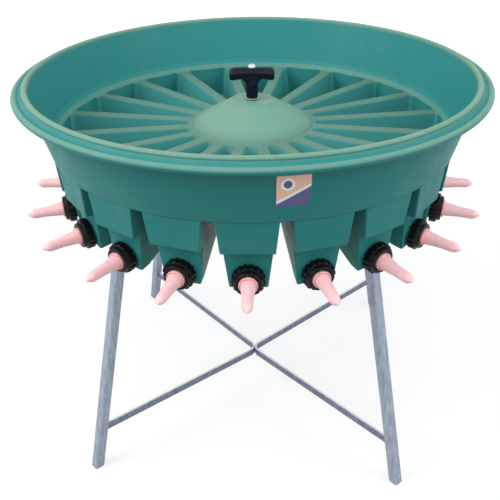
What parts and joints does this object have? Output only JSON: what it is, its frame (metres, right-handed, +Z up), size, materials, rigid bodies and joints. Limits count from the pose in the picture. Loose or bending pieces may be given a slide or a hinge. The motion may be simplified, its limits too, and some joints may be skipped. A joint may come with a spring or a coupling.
{
  "type": "multi-teat milk feeder",
  "caption": "Round moulded milk bowl with separate hanging compartments and screw-on rubber teats, clamped by a T-handle to a four-legged galvanised stand.",
  "frame": {"origin": "on the floor under the bowl's axis", "axes": "+Z up, -Y towards compartment 1, +X to the right seen from there"},
  "size_m": [1.1226, 1.1226, 0.9482],
  "materials": {
    "moulded_plastic": "satin rotomoulded green",
    "black_nylon": "semi-gloss black",
    "teat_rubber": "soft pink rubber",
    "galvanised_steel": "galvanised",
    "bright_steel": "bright",
    "seal_rubber": "matt",
    "label_film": "printed film"
  },
  "bodies": {
    "stand": {"leg_1": "galvanised_steel", "leg_2": "galvanised_steel", "leg_3": "galvanised_steel", "leg_4": "galvanised_steel", "top_arm_1": "galvanised_steel", "top_arm_2": "galvanised_steel", "top_arm_3": "galvanised_steel", "top_arm_4": "galvanised_steel", "floor_brace_1": "galvanised_steel", "floor_brace_2": "galvanised_steel", "stand_hub": "galvanised_steel", "captive_nut": "bright_steel"},
    "bowl": {"milk_bowl": "moulded_plastic", "apex_seal": "seal_rubber", "belt_label": "label_film", "collar_nut_01": "black_nylon", "collar_nut_02": "black_nylon", "collar_nut_03": "black_nylon", "collar_nut_04": "black_nylon", "collar_nut_05": "black_nylon", "collar_nut_06": "black_nylon", "collar_nut_07": "black_nylon", "collar_nut_08": "black_nylon", "collar_nut_09": "black_nylon", "collar_nut_10": "black_nylon", "collar_nut_11": "black_nylon", "collar_nut_12": "black_nylon", "collar_nut_13": "black_nylon", "collar_nut_14": "black_nylon", "collar_nut_15": "black_nylon", "collar_nut_16": "black_nylon", "collar_nut_17": "black_nylon", "collar_nut_18": "black_nylon", "collar_nut_19": "black_nylon", "collar_nut_20": "black_nylon", "teat_01": "teat_rubber", "teat_02": "teat_rubber", "teat_03": "teat_rubber", "teat_04": "teat_rubber", "teat_05": "teat_rubber", "teat_06": "teat_rubber", "teat_07": "teat_rubber", "teat_08": "teat_rubber", "teat_09": "teat_rubber", "teat_10": "teat_rubber", "teat_11": "teat_rubber", "teat_12": "teat_rubber", "teat_13": "teat_rubber", "teat_14": "teat_rubber", "teat_15": "teat_rubber", "teat_16": "teat_rubber", "teat_17": "teat_rubber", "teat_18": "teat_rubber", "teat_19": "teat_rubber", "teat_20": "teat_rubber"},
    "clamp_washer": {"clamp_washer": "bright_steel"},
    "t_handle": {"t_handle_grip": "black_nylon", "clamp_rod": "bright_steel", "dome_nut": "bright_steel"}
  },
  "joints": [
    {"name": "bowl_lift", "type": "slide", "parent": "stand", "child": "bowl", "axis": [0, 0, 1], "range_m": [0, 0.25]},
    {"name": "clamp_travel", "type": "slide", "parent": "bowl", "child": "clamp_washer", "axis": [0, 0, 1], "range_m": [0, 0.0105]},
    {"name": "clamp_turn", "type": "hinge", "parent": "clamp_washer", "child": "t_handle", "pos_m": [0, 0, 0.9268], "axis": [0, 0, 1], "range_deg": [0, 2160]}
  ],
  "couplings": [
    {"joint": "clamp_travel", "follows": "clamp_turn", "m_per_rad": 0.0002785}
  ]
}
